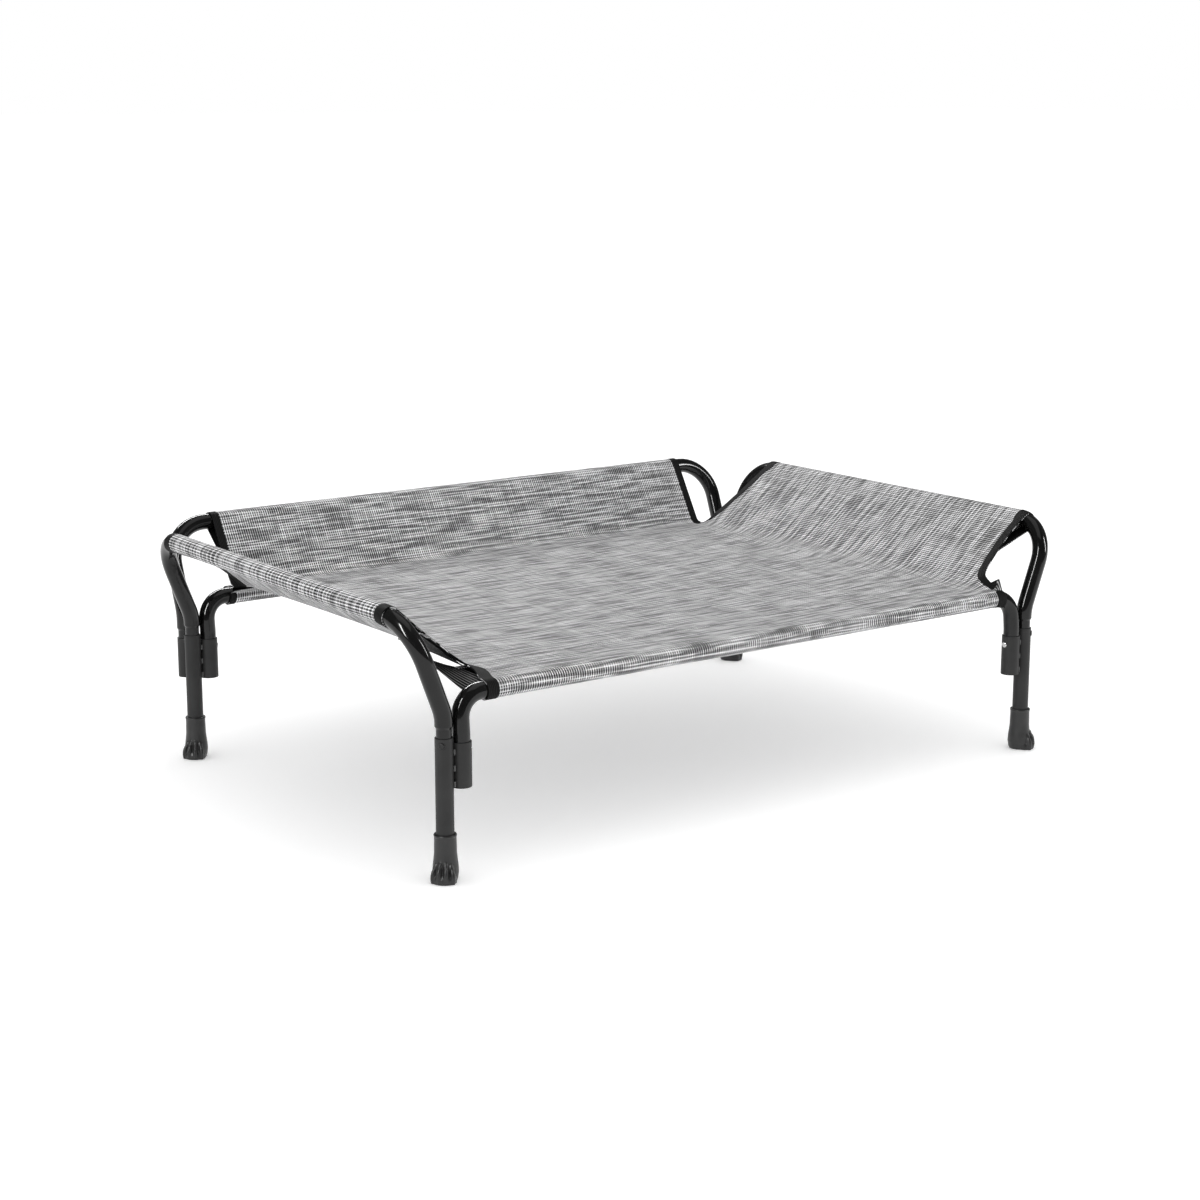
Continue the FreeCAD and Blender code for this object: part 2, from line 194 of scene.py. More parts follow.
satin_coat = powder_coat("satin_black_coat", 0.019, 0.028, 0.38, 0.50, 0.26, 0.0, 0.10)
gloss_coat = powder_coat("gloss_black_coat", 0.003, 0.006, 0.13, 0.20, 0.16, 0.40, 0.05)
corner_names = ("front_left", "front_right", "back_left", "back_right")
uprights = ["leg_tube_" + c for c in corner_names] + ["low_socket_" + c for c in corner_names]
dress(uprights + ["back_socket_left", "back_socket_right"], satin_coat)
dress(["side_rail_left", "side_rail_right", "back_rail", "front_low_rail", "back_low_rail"],
      gloss_coat)


# Weld beads: short puddled MIG beads between a leg and its socket, coated with the frame,
# so they are gloss black with the ripples of the weld.
def bead_finish():
    beads, tree, shader = new_material("coated_weld")
    shader.inputs["Coat Weight"].default_value = 0.7
    shader.inputs["Coat Roughness"].default_value = 0.08
    lumps = object_noise(tree, 520.0, 2.0, (0.3, 0.3, 1.0))
    tint = ramp(tree, lumps, "Fac", [(0.3, grey(0.006)), (0.8, grey(0.022))])
    link(tree, tint, "Color", shader, "Base Color")
    shader.inputs["Roughness"].default_value = 0.25
    relief(tree, lumps, "Fac", shader, 0.8, 0.0012)
    return beads


dress(["weld_beads_" + c for c in corner_names], bead_finish())


# Snap buttons and clips: pressed steel pins on a folded strip of spring steel inside the
# rail ends. Leg pins are coloured near black as painted shade for the dark spot at each
# leg joint; the pins of the low and rear sockets are bright plated.
def pin_metal(name, dark, light, rough_low, rough_high, stretch):
    metal, tree, shader = new_material(name)
    shader.inputs["Metallic"].default_value = 1.0
    scuffs = object_noise(tree, 700.0, 4.0, stretch)
    tint = ramp(tree, scuffs, "Fac", [(0.3, grey(dark)), (0.75, grey(light))])
    link(tree, tint, "Color", shader, "Base Color")
    uneven_gloss(tree, scuffs, shader, rough_low, rough_high)
    relief(tree, scuffs, "Fac", shader, 0.15, 0.0001)
    return metal


# Painted shade: the leg pins' near-black colour stands in for the shade in the leg joint's
# recess.
leg_pin_shade_dark = pin_metal("leg_pin_painted_shade_steel", 0.02, 0.06, 0.28, 0.45, (1.0, 1.0, 1.0))
bright_pin = pin_metal("plated_steel", 0.62, 0.82, 0.12, 0.26, (1.0, 1.0, 1.0))
spring_strip = pin_metal("spring_strip", 0.34, 0.52, 0.25, 0.4, (1.0, 1.0, 0.08))
socket_pins = ["low_" + c for c in corner_names] + ["rear_left", "rear_right"]
dress(["snap_button_leg_" + c for c in corner_names], leg_pin_shade_dark)
dress(["snap_button_" + pin for pin in socket_pins], bright_pin)
dress(["spring_clip_leg_" + c for c in corner_names], spring_strip)
dress(["spring_clip_" + pin for pin in socket_pins], spring_strip)


# Foot caps: moulded black rubber shaped like a paw, pushed over each leg. The rubber has a
# fine moulding grain and a low, patchy gloss that catches the toes' ridges.
def cap_rubber():
    rubber, tree, shader = new_material("moulded_rubber")
    shader.inputs["Specular IOR Level"].default_value = 0.45
    cloud = object_noise(tree, 60.0, 4.0)
    tint = ramp(tree, cloud, "Fac", [(0.3, grey(0.015)), (0.75, grey(0.026))])
    link(tree, tint, "Color", shader, "Base Color")
    uneven_gloss(tree, cloud, shader, 0.26, 0.44)
    relief(tree, object_noise(tree, 1400.0, 2.0), "Fac", shader, 0.2, 0.0002)
    return rubber


rubber = cap_rubber()
cap_voxel = 0.00055
cap_bore_radius = 0.01115
cap_profile = (
    (0.0, -0.004), (0.0120, -0.004), (0.0148, 0.003), (0.0160, 0.011), (0.0156, 0.019),
    (0.0146, 0.027), (0.0139, 0.034), (0.0135, 0.052), (0.0136, 0.0535), (0.0134, 0.0545),
    (0.0140, 0.0553), (0.0141, 0.0568), (0.0137, 0.0580), (0.0, 0.0580))
toe_fan = math.radians(26.0)     # from one toe to the next
outer_toe_drop = 0.0020          # the two outer toes sit lower than the middle pair


def select_only(piece):
    bpy.ops.object.select_all(action="DESELECT")
    piece.select_set(True)
    bpy.context.view_layer.objects.active = piece


def bake_place():
    bpy.ops.object.transform_apply(location=True, rotation=True, scale=True)


def lathe(name, profile, steps):
    """A turned shape about the leg's axis from (radius, height) points."""
    mesh = bpy.data.meshes.new(name)
    edges = [(index, index + 1) for index in range(len(profile) - 1)]
    mesh.from_pydata([(radius, 0.0, height) for radius, height in profile], edges, [])
    piece = bpy.data.objects.new(name, mesh)
    bpy.context.scene.collection.objects.link(piece)
    select_only(piece)
    bpy.ops.object.mode_set(mode="EDIT")
    bpy.ops.mesh.select_all(action="SELECT")
    bpy.ops.mesh.spin(steps=steps, angle=2 * math.pi, center=(0.0, 0.0, 0.0),
                      axis=(0.0, 0.0, 1.0))
    bpy.ops.mesh.select_all(action="SELECT")
    bpy.ops.mesh.remove_doubles(threshold=0.00002)
    bpy.ops.mesh.normals_make_consistent(inside=False)
    bpy.ops.object.mode_set(mode="OBJECT")
    return piece


def ball(place, size, turn=0.0, tilt=0.0):
    """An ellipsoid, tilted in its place and then turned about the leg's axis."""
    bpy.ops.object.select_all(action="DESELECT")
    bpy.ops.mesh.primitive_uv_sphere_add(segments=24, ring_count=14, radius=1.0,
                                         location=(0.0, 0.0, 0.0))
    lump = bpy.context.object
    lump.scale = size
    lump.rotation_euler = (0.0, tilt, 0.0)
    lump.location = place
    bake_place()
    lump.rotation_euler = (0.0, 0.0, turn)
    bake_place()
    return lump


def modify(piece, kind, **settings):
    select_only(piece)
    modifier = piece.modifiers.new("work", kind)
    for key, value in settings.items():
        setattr(modifier, key, value)
    bpy.ops.object.modifier_apply(modifier=modifier.name)


def paw():
    """One cap about its leg's axis with its toes along +X: blended, bored and cut flat."""
    body = lathe("paw", cap_profile, 48)
    pad = ball((0.0080, 0.0, 0.0030), (0.0139, 0.0154, 0.0125))
    parts = [body, pad]
    for index in range(4):
        turn = (index - 1.5) * toe_fan
        drop = 0.0 if index in (1, 2) else outer_toe_drop
        tip = (0.0164, 0.0, 0.0100 - drop), (0.0064, 0.0038, 0.0120)
        knuckle = (0.0132, 0.0, 0.0205 - drop), (0.0050, 0.0036, 0.0068)
        parts.append(ball(*tip, turn, math.radians(-7.0)))
        parts.append(ball(*knuckle, turn, math.radians(-18.0)))
    bpy.ops.object.select_all(action="DESELECT")
    for part in parts:
        part.select_set(True)
    bpy.context.view_layer.objects.active = body
    bpy.ops.object.join()
    modify(body, "REMESH", mode="VOXEL", voxel_size=cap_voxel)
    modify(body, "SMOOTH", factor=0.5, iterations=3)
    bpy.ops.object.select_all(action="DESELECT")
    bpy.ops.mesh.primitive_cylinder_add(vertices=64, radius=cap_bore_radius, depth=0.080,
                                        location=(0.0, 0.0, 0.046))
    bore = bpy.context.object
    bake_place()
    modify(body, "BOOLEAN", operation="DIFFERENCE", object=bore, solver="EXACT")
    bpy.data.objects.remove(bore)
    select_only(body)
    bpy.ops.object.mode_set(mode="EDIT")
    bpy.ops.mesh.select_all(action="SELECT")
    bpy.ops.mesh.bisect(plane_co=(0.0, 0.0, 0.0), plane_no=(0.0, 0.0, 1.0), use_fill=True,
                        clear_inner=True)
    bpy.ops.object.mode_set(mode="OBJECT")
    bpy.ops.object.shade_smooth_by_angle(angle=math.radians(40))
    return body


pattern = paw()
for corner in corner_names:
    low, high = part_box("leg_tube_" + corner)
    side = -1 if "left" in corner else 1
    cap = bpy.data.objects.new("paw_cap_" + corner, pattern.data.copy())
    bpy.context.scene.collection.objects.link(cap)
    select_only(cap)
    cap.location = ((low.x + high.x) / 2, (low.y + high.y) / 2, 0.0)
    cap.rotation_euler = (0.0, 0.0, math.atan2(-1.0, side))
    bake_place()
    cap.data.materials.clear()
    cap.data.materials.append(rubber)
    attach(cap, "frame")
    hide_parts("foot_cap_" + corner)
bpy.data.objects.remove(pattern)


# Sling cover: one piece of coated open-weave mesh, cut as a cross with hollowed corners. It
# wraps the front low rail and the three raised rails and is sewn back on itself 68 mm in.
cloth_thickness = 0.0012
wrap_radius = 0.0113         # reverse of the cloth, lying on a rail
seam_reach = 0.068           # from where the cloth touches a rail to its seam
flap_reach = 0.009           # hem allowance beyond the seam
crease_x = 0.407
crease_soft = 0.022          # the side creases are soft bends this far to each side
back_soft = 0.010            # and the back crease this far
corner_sharper = 0.015       # the left crease's front corner bends this much tighter,
corner_stay = 0.050          # up to this far from the front rail,
corner_ease = 0.120          # and softens over this distance
mat_sag = 0.006
crease_lift = 0.004
saddle_reach = 0.024         # distance from a low rail over which a side panel rises
left_saddle_reach = 0.075    # the left panel's front corner is cut back further
lift_start = 0.018           # this far up a side panel the saddle begins to end,
lift_blend = 0.020           # and it has ended after this distance
neck_reach = 0.042           # depth of the left hollow's flare beside the front rail
flap_taper = 0.010           # the front rail's flap is this much narrower at its seam
fine_pitch = 0.003           # rows of the cloth where it wraps a rail or ends at a hollow
bend_pitch = 0.004
hem_pitch = 0.009
flap_pitch = 0.011
field_pitch = 0.012
field_half = 0.36            # half width of the mat that keeps an even grid


def rail_axis(sleeve_node):
    low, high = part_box(sleeve_node)
    return (low + high) / 2


left_axis = rail_axis("sleeve_left")
right_axis = rail_axis("sleeve_right")
back_axis = rail_axis("sleeve_back")
front_low_axis = rail_axis("sleeve_front_low")
back_low_axis = rail_axis("sleeve_back_low")
front_y = front_low_axis.y
crease_y = back_low_axis.y
mat_z = front_low_axis.z + wrap_radius
raised_bend = 0.056
raised_straight = 0.271      # half length of a raised side rail before it bends down
lean = math.radians(20.8)
low_bend = 0.030
low_straight = 0.4309


def sleeve_profile(foot, centre):
    """Path of the cloth's reverse in (u, z): up to the rail, round it, back to the seam, hem."""
    du, dz = centre[0] - foot[0], centre[1] - foot[1]
    distance = math.hypot(du, dz)
    heading = math.atan2(dz, du) + math.asin(wrap_radius / distance)
    run = math.sqrt(distance ** 2 - wrap_radius ** 2)
    along = (math.cos(heading), math.sin(heading))
    touch = (foot[0] + run * along[0], foot[1] + run * along[1])
    seam = (touch[0] - seam_reach * along[0], touch[1] - seam_reach * along[1])
    wrap = math.pi + 2 * math.atan(wrap_radius / seam_reach)
    start = heading + math.pi / 2
    path = [foot, touch]
    for step in range(1, 13):
        turn = start - wrap * step / 12
        path.append((centre[0] + wrap_radius * math.cos(turn),
                     centre[1] + wrap_radius * math.sin(turn)))
    path.append(seam)
    path.append((seam[0] - flap_reach * along[0], seam[1] - flap_reach * along[1]))
    return path, run


def sample(path, reach):
    """Point at an arc length along a path of (u, z) points."""
    left = reach
    for first, second in zip(path, path[1:]):
        span = math.hypot(second[0] - first[0], second[1] - first[1])
        if left <= span or second is path[-1]:
            share = left / span
            return (first[0] + (second[0] - first[0]) * share,
                    first[1] + (second[1] - first[1]) * share)
        left -= span
    return path[-1]


def soft_start(path, soft):
    """The path with its first corner, against a level cloth, rounded off."""
    foot, following = path[0], path[1]
    span = math.hypot(following[0] - foot[0], following[1] - foot[1])
    leave = (foot[0] + (following[0] - foot[0]) * soft / span,
             foot[1] + (following[1] - foot[1]) * soft / span)
    enter = (foot[0] - soft, foot[1])
    bend = []
    for step in range(9):
        t = step / 8
        a, b, c = (1 - t) ** 2, 2 * t * (1 - t), t * t
        bend.append((a * enter[0] + b * foot[0] + c * leave[0],
                     a * enter[1] + b * foot[1] + c * leave[1]))
    return bend + path[1:]


def smooth(value):
    value = min(1.0, max(0.0, value))
    return value * value * (3 - 2 * value)


def mat_height(x, y):
    """Height of the cloth's reverse between the creases."""
    share = min(1.0, max(0.0, (y - front_y) / (crease_y - back_soft - front_y)))
    belly = 4 * share * (1 - share)
    spread = min(1.0, abs(x) / crease_x)
    return mat_z - mat_sag * belly * (1 - spread ** 2) + crease_lift * belly * spread ** 6


far_ahead = 0.4              # a level run to the front rail; only its end is used
front_path = sleeve_profile((0.0, mat_z), (far_ahead, front_low_axis.z))[0][1:]
front_start = front_path[0]
back_path, back_run = sleeve_profile((0.0, mat_z), (back_axis.y - crease_y, back_axis.z))
back_path = soft_start(back_path, back_soft)
side_paths = {}


def side_soft(side, y):
    """The left crease is sharp at its cut-back front corner and soft further along."""
    if side > 0:
        return crease_soft
    return crease_soft - corner_sharper * (1 - smooth((y - front_y - corner_stay) / corner_ease))


def side_path(side, y):
    """Profile of a side panel at one place along the bed; it follows the rail's end bends."""
    key = (side, round(y, 4))
    if key not in side_paths:
        axis = left_axis if side < 0 else right_axis
        past = max(0.0, abs(y - axis.y) - raised_straight)
        drop = raised_bend - math.sqrt(max(0.0, raised_bend ** 2 - past ** 2))
        centre = (abs(axis.x) - drop * math.sin(lean), axis.z - drop * math.cos(lean))
        path, run = sleeve_profile((crease_x, mat_height(crease_x, y)), centre)
        side_paths[key] = (soft_start(path, side_soft(side, y)), run)
    return side_paths[key]


def drape(x, y):
    """Place of a point of the cloth's reverse; x and y are measured along the flat cloth."""
    if y < front_y:
        u, z = sample(front_path, front_y - y)
        past = max(0.0, abs(x) - low_straight)
        drop = low_bend - math.sqrt(max(0.0, low_bend ** 2 - past ** 2))
        return Vector((x, front_y - (u - front_start[0]), z - drop))
    if y > crease_y - back_soft:
        u, z = sample(back_path, y - crease_y + back_soft)
        return Vector((x, crease_y + u, z))
    level = Vector((x, y, mat_height(x, y)))
    side = 1 if x > 0 else -1
    start = crease_x - side_soft(side, y)
    if abs(x) <= start:
        return level
    u, z = sample(side_path(side, y)[0], abs(x) - start)
    lifted = Vector((side * u, y, z))
    ahead = left_saddle_reach if side < 0 else saddle_reach
    rise = smooth((y - front_y) / ahead) * smooth((crease_y - back_soft - y) / saddle_reach)
    rise = max(rise, smooth((abs(x) - crease_x - lift_start) / lift_blend))
    return level.lerp(lifted, rise)


def outward(x, y):
    """Unit normal of the cloth's right side."""
    step = 0.0004
    across = drape(x + step, y) - drape(x - step, y)
    along = drape(x, y + step) - drape(x, y - step)
    return across.cross(along).normalized()


side_run = side_path(1, left_axis.y)[1]
side_seam = crease_x + side_run - seam_reach
side_touch = crease_x + side_run
wrap_length = wrap_radius * (math.pi + 2 * math.atan(wrap_radius / seam_reach))
side_end = side_touch + wrap_length + seam_reach + flap_reach
front_end = front_y - wrap_length - seam_reach - flap_reach
back_touch = crease_y + back_run
back_end = back_touch + wrap_length + seam_reach + flap_reach

# The hollow of each corner, from its innermost point out to the raised rail: distance along
# the cloth away from the crease, and distance from the low rail.
hollow = {
    "front_left": dict(side=-1, end=-1, apex=(0.010, 0.060), ring_x=0.427, neck=0.4165, rise=(
        (0.0, 0.0), (0.006, 0.0010), (0.020, 0.0025), (0.045, 0.0035), (0.065, 0.0020),
        (0.090, -0.0040), (0.115, -0.0140), (0.133, -0.0200), (0.139, -0.0210))),
    "front_right": dict(side=1, end=-1, apex=(0.026, 0.020), ring_x=0.441, rise=(
        (0.0, 0.0), (0.0075, 0.0045), (0.023, 0.0085), (0.046, 0.0120), (0.068, 0.0145),
        (0.090, 0.0155), (0.115, 0.0145), (0.121, 0.0140))),
    "back_left": dict(side=-1, end=1, apex=(0.012, 0.022), ring_x=0.420, rise=(
        (0.0, 0.0), (0.008, 0.006), (0.024, 0.010), (0.047, 0.012), (0.069, 0.012),
        (0.091, 0.014), (0.116, 0.018), (0.136, 0.022))),
    "back_right": dict(side=1, end=1, apex=(0.014, 0.022), ring_x=0.420, rise=(
        (0.0, 0.0), (0.008, 0.006), (0.024, 0.012), (0.047, 0.017), (0.069, 0.022),
        (0.091, 0.026), (0.116, 0.030), (0.134, 0.032))),
}


def interpolate(table, value):
    for (x0, y0), (x1, y1) in zip(table, table[1:]):
        if value <= x1:
            return y0 + (y1 - y0) * max(0.0, (value - x0) / (x1 - x0))
    return table[-1][1]


def panel_edge(corner, x):
    """Where the cloth ends along the bed, at a distance across the flat cloth."""
    cut = hollow[corner]
    distance = abs(x) - crease_x - cut["apex"][0]
    low_rail_y = front_y if cut["end"] < 0 else crease_y
    ring = cut["rise"][-1][1]
    if abs(x) > side_touch + wrap_length / 2:
        seam_rise = interpolate(cut["rise"], side_seam - crease_x - cut["apex"][0])
        back = (abs(x) - side_touch - wrap_length) / seam_reach
        rise = ring + (seam_rise - ring) * smooth(back)
    else:
        rise = interpolate(cut["rise"], distance)
    return low_rail_y - cut["end"] * (cut["apex"][1] + rise)


def strip_edge(corner, y):
    """Where the cloth ends across the bed, at a distance along the flat cloth."""
    cut = hollow[corner]
    apex_x = crease_x + cut["apex"][0]
    low_rail_y = front_y if cut["end"] < 0 else crease_y
    inside = -cut["end"] * (y - low_rail_y)
    if inside > 0:
        share = min(1.0, inside / cut["apex"][1])
        if "neck" in cut:
            flare = 1 - smooth(inside / neck_reach)
            edge = cut["neck"] + (cut["ring_x"] - cut["neck"]) * flare
            edge += (apex_x - cut["neck"]) * share ** 3
        else:
            edge = cut["ring_x"] + (apex_x - cut["ring_x"]) * math.sin(math.pi / 2 * share)
    elif cut["end"] < 0:
        back = (-inside - wrap_length) / seam_reach
        edge = cut["ring_x"] - flap_taper * smooth(back)
    else:
        edge = cut["ring_x"]
    return cut["side"] * edge


def spaced(first, last, pitch):
    count = max(2, round(abs(last - first) / pitch))
    return [first + (last - first) * step / count for step in range(count + 1)]


band_steps = (0.0, 0.003, 0.006, 0.009, 0.0115)


def cloth_rows(first, last, pitch):
    """Places from one cut edge to the other, closer together under the binding."""
    inner = spaced(first + band_steps[-1], last - band_steps[-1], pitch)
    start = [first + band for band in band_steps[:-1]]
    return start + inner + [last - band for band in reversed(band_steps[:-1])]


def strip_columns(ends):
    """Places across the mat: fine under the binding, then stretched, then an even grid."""
    left, right = ends[0] + band_steps[-1], ends[1] - band_steps[-1]
    line = [ends[0] + band for band in band_steps[:-1]]
    line += [left + (-field_half - left) * step / 6 for step in range(6)]
    line += [field_half * (step / 30 - 1) for step in range(61)]
    line += [field_half + (right - field_half) * step / 6 for step in range(1, 7)]
    return line + [ends[1] - band for band in reversed(band_steps[:-1])]


def cloth_piece(name, points, faces, map_name, marks):
    """A mesh object whose UV map gives each point its place on the flat cloth or tape."""
    mesh = bpy.data.meshes.new(name)
    mesh.from_pydata(points, [], faces)
    layout = mesh.uv_layers.new(name=map_name)
    for loop in mesh.loops:
        layout.data[loop.index].uv = marks[loop.vertex_index]
    piece = bpy.data.objects.new(name, mesh)
    bpy.context.scene.collection.objects.link(piece)
    return piece


def cover_cloth():
    left_x = -crease_x - hollow["front_left"]["apex"][0]
    right_x = crease_x + hollow["front_right"]["apex"][0]
    first_y, last_y = panel_edge("front_right", right_x), panel_edge("back_right", right_x)
    left_y = panel_edge("front_left", left_x)
    middle_rows = spaced(first_y, left_y, fine_pitch)[:-1]
    middle_rows += cloth_rows(left_y, last_y, field_pitch)
    front_rows = spaced(front_end, front_y - wrap_length, hem_pitch)[:-1]
    front_rows += spaced(front_y - wrap_length, front_y, fine_pitch)[:-1]
    front_rows += spaced(front_y, first_y, fine_pitch)[:-1]
    back_rows = spaced(last_y, crease_y - back_soft, fine_pitch)[1:]
    back_rows += spaced(crease_y - back_soft, crease_y + back_soft, bend_pitch)[1:]
    back_rows += spaced(crease_y + back_soft, back_touch, field_pitch)[1:]
    back_rows += spaced(back_touch, back_touch + wrap_length, fine_pitch)[1:]
    back_rows += spaced(back_touch + wrap_length, back_end, hem_pitch)[1:]
    points, flat, faces = [], [], []

    def add(x, y):
        points.append(drape(x, y))
        flat.append((x, y))
        return len(points) - 1

    def strip_ends(y):
        if y <= first_y:
            return strip_edge("front_left", y), strip_edge("front_right", y)
        if y >= last_y:
            return strip_edge("back_left", y), strip_edge("back_right", y)
        slide = smooth((y - first_y) / (last_y - first_y))
        right_end = right_x + (crease_x + hollow["back_right"]["apex"][0] - right_x) * slide
        if y <= left_y:
            return strip_edge("front_left", y), right_end
        slide = smooth((y - left_y) / (last_y - left_y))
        left_end = left_x + (-crease_x - hollow["back_left"]["apex"][0] - left_x) * slide
        return left_end, right_end

    grid = [[add(x, y) for x in strip_columns(strip_ends(y))]
            for y in front_rows + middle_rows + back_rows]
    for lower, upper in zip(grid, grid[1:]):
        for step in range(len(lower) - 1):
            faces.append((lower[step], lower[step + 1], upper[step + 1], upper[step]))

    middle = grid[len(front_rows):len(front_rows) + len(middle_rows)]
    for side, front, back in ((-1, "front_left", "back_left"), (1, "front_right", "back_right")):
        attached = [i for i, y in enumerate(middle_rows) if side > 0 or y >= left_y - 1e-6]
        previous = [middle[index][-1 if side > 0 else 0] for index in attached]
        start_y = middle_rows[attached[0]]
        parts = [(middle_rows[index] - start_y) / (last_y - start_y) for index in attached]
        base = crease_x + max(hollow[front]["apex"][0], hollow[back]["apex"][0]) + 0.005
        lines = spaced(base, side_seam, field_pitch)
        lines += spaced(side_seam, side_touch, field_pitch)[1:]
        lines += spaced(side_touch, side_touch + wrap_length, fine_pitch)[1:]
        lines += spaced(side_touch + wrap_length, side_end - flap_reach, flap_pitch)[1:]
        lines += spaced(side_end - flap_reach, side_end, hem_pitch)[1:]
        for reach in lines:
            x = side * reach
            ends = panel_edge(front, x), panel_edge(back, x)
            current = [add(x, ends[0] + (ends[1] - ends[0]) * part) for part in parts]
            for step in range(len(current) - 1):
                quad = (previous[step], current[step], current[step + 1], previous[step + 1])
                faces.append(quad if side > 0 else quad[::-1])
            previous = current

    return cloth_piece("sling_cover", points, faces, "weave", flat)


warp_pitch = 0.0035
weft_pitch = 0.0040


def woven_mesh():
    """Pale threads along the bed's depth, darker slubbed threads across, small gaps between."""
    weave, tree, shader = new_material("open_weave_mesh")
    shader.inputs["Roughness"].default_value = 0.62
    shader.inputs["Specular IOR Level"].default_value = 0.18
    shader.inputs["Sheen Weight"].default_value = 0.04

    def node(kind, **settings):
        made = tree.nodes.new(kind)
        for key, value in settings.items():
            setattr(made, key, value)
        return made

    def calc(operation, first, second=None, third=None):
        made = node("ShaderNodeMath", operation=operation)
        for entry, value in enumerate((first, second, third)):
            if value is None:
                continue
            if isinstance(value, (int, float)):
                made.inputs[entry].default_value = value
            else:
                tree.links.new(value, made.inputs[entry])
        return made.outputs[0]

    def streaks(scale_u, scale_v, detail):
        place = node("ShaderNodeCombineXYZ")
        tree.links.new(calc("MULTIPLY", u, scale_u), place.inputs["X"])
        tree.links.new(calc("MULTIPLY", v, scale_v), place.inputs["Y"])
        noise = node("ShaderNodeTexNoise")
        noise.inputs["Scale"].default_value = 1.0
        noise.inputs["Detail"].default_value = detail
        tree.links.new(place.outputs["Vector"], noise.inputs["Vector"])
        return noise.outputs["Fac"]

    def ranged(value, low, high, to_low, to_high):
        made = node("ShaderNodeMapRange", clamp=True)
        tree.links.new(value, made.inputs["Value"])
        limits = {"From Min": low, "From Max": high, "To Min": to_low, "To Max": to_high}
        for entry, number in limits.items():
            made.inputs[entry].default_value = number
        return made.outputs["Result"]

    flat_place = node("ShaderNodeUVMap", uv_map="weave")
    split = node("ShaderNodeSeparateXYZ")
    tree.links.new(flat_place.outputs["UV"], split.inputs["Vector"])
    u, v = split.outputs["X"], split.outputs["Y"]
    warp_wave = calc("COSINE", calc("MULTIPLY", u, 2 * math.pi / warp_pitch))
    weft_wave = calc("COSINE", calc("MULTIPLY", v, 2 * math.pi / weft_pitch))
    warp = ranged(warp_wave, 0.0, 0.45, 0.0, 1.0)
    weft = ranged(weft_wave, 0.10, 0.60, 0.0, 1.0)
    slub = streaks(15.0, 270.0, 2.0)
    filled = streaks(9.0, 70.0, 3.0)
    warp_slub = streaks(290.0, 12.0, 1.0)
    weft_tone = ranged(slub, 0.43, 0.57, 0.006, 0.62)
    warp_shade = ranged(slub, 0.40, 0.55, 0.42, 1.0)
    warp_tone = calc("MULTIPLY", ranged(warp_slub, 0.35, 0.65, 0.60, 0.97), warp_shade)
    gap_tone = ranged(filled, 0.46, 0.68, 0.001, 0.08)
    crossing = node("ShaderNodeMix", data_type="FLOAT")
    tree.links.new(weft, crossing.inputs["Factor"])
    tree.links.new(gap_tone, crossing.inputs["A"])
    tree.links.new(weft_tone, crossing.inputs["B"])
    mixed = node("ShaderNodeMix", data_type="FLOAT")
    tree.links.new(warp, mixed.inputs["Factor"])
    tree.links.new(crossing.outputs["Result"], mixed.inputs["A"])
    tree.links.new(warp_tone, mixed.inputs["B"])
    tone = node("ShaderNodeCombineColor")
    for channel in ("Red", "Green"):
        tree.links.new(mixed.outputs["Result"], tone.inputs[channel])
    tree.links.new(calc("MULTIPLY", mixed.outputs["Result"], 1.01), tone.inputs["Blue"])
    tree.links.new(tone.outputs["Color"], shader.inputs["Base Color"])
    thread_height = calc("MAXIMUM", warp_wave, calc("MULTIPLY", weft_wave, 0.8))
    bump = node("ShaderNodeBump")
    bump.inputs["Strength"].default_value = 0.55
    bump.inputs["Distance"].default_value = 0.0006
    tree.links.new(thread_height, bump.inputs["Height"])
    tree.links.new(bump.outputs["Normal"], shader.inputs["Normal"])
    return weave


def thicken(piece, thickness):
    """Gives a sheet its thickness on its right side and smooths its shading."""
    select_only(piece)
    solid = piece.modifiers.new("thickness", "SOLIDIFY")
    solid.thickness = thickness
    solid.offset = 1.0
    bpy.ops.object.modifier_apply(modifier=solid.name)
    bpy.ops.object.shade_smooth_by_angle(angle=math.radians(50))


sling_cover = cover_cloth()
thicken(sling_cover, cloth_thickness)
sling_cover.data.materials.append(woven_mesh())
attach(sling_cover, "frame")
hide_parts("cover_mat", "cover_panel_left", "cover_panel_right", "cover_panel_back",
            "sleeve_left", "sleeve_right", "sleeve_back", "sleeve_front_low")


# Corner binding: ribbed black webbing tape folded over the cut edge of each hollow, from seam
# to seam and round both sleeve ends. It shows 16 mm on the rails and less along the hollow.
tape_half = 0.0006
tape_narrow = 0.0115         # width that shows along a hollow
tape_extra = 0.0045          # more of it shows on a rail
tape_left_extra = 0.0030     # and along the left front hollow
tape_end_gap = 0.002         # the tape stops this short of the sleeve's seam
rail_margin = 0.004          # past a rail the tape still lies flat on it this far
cross_thread = 0.0011


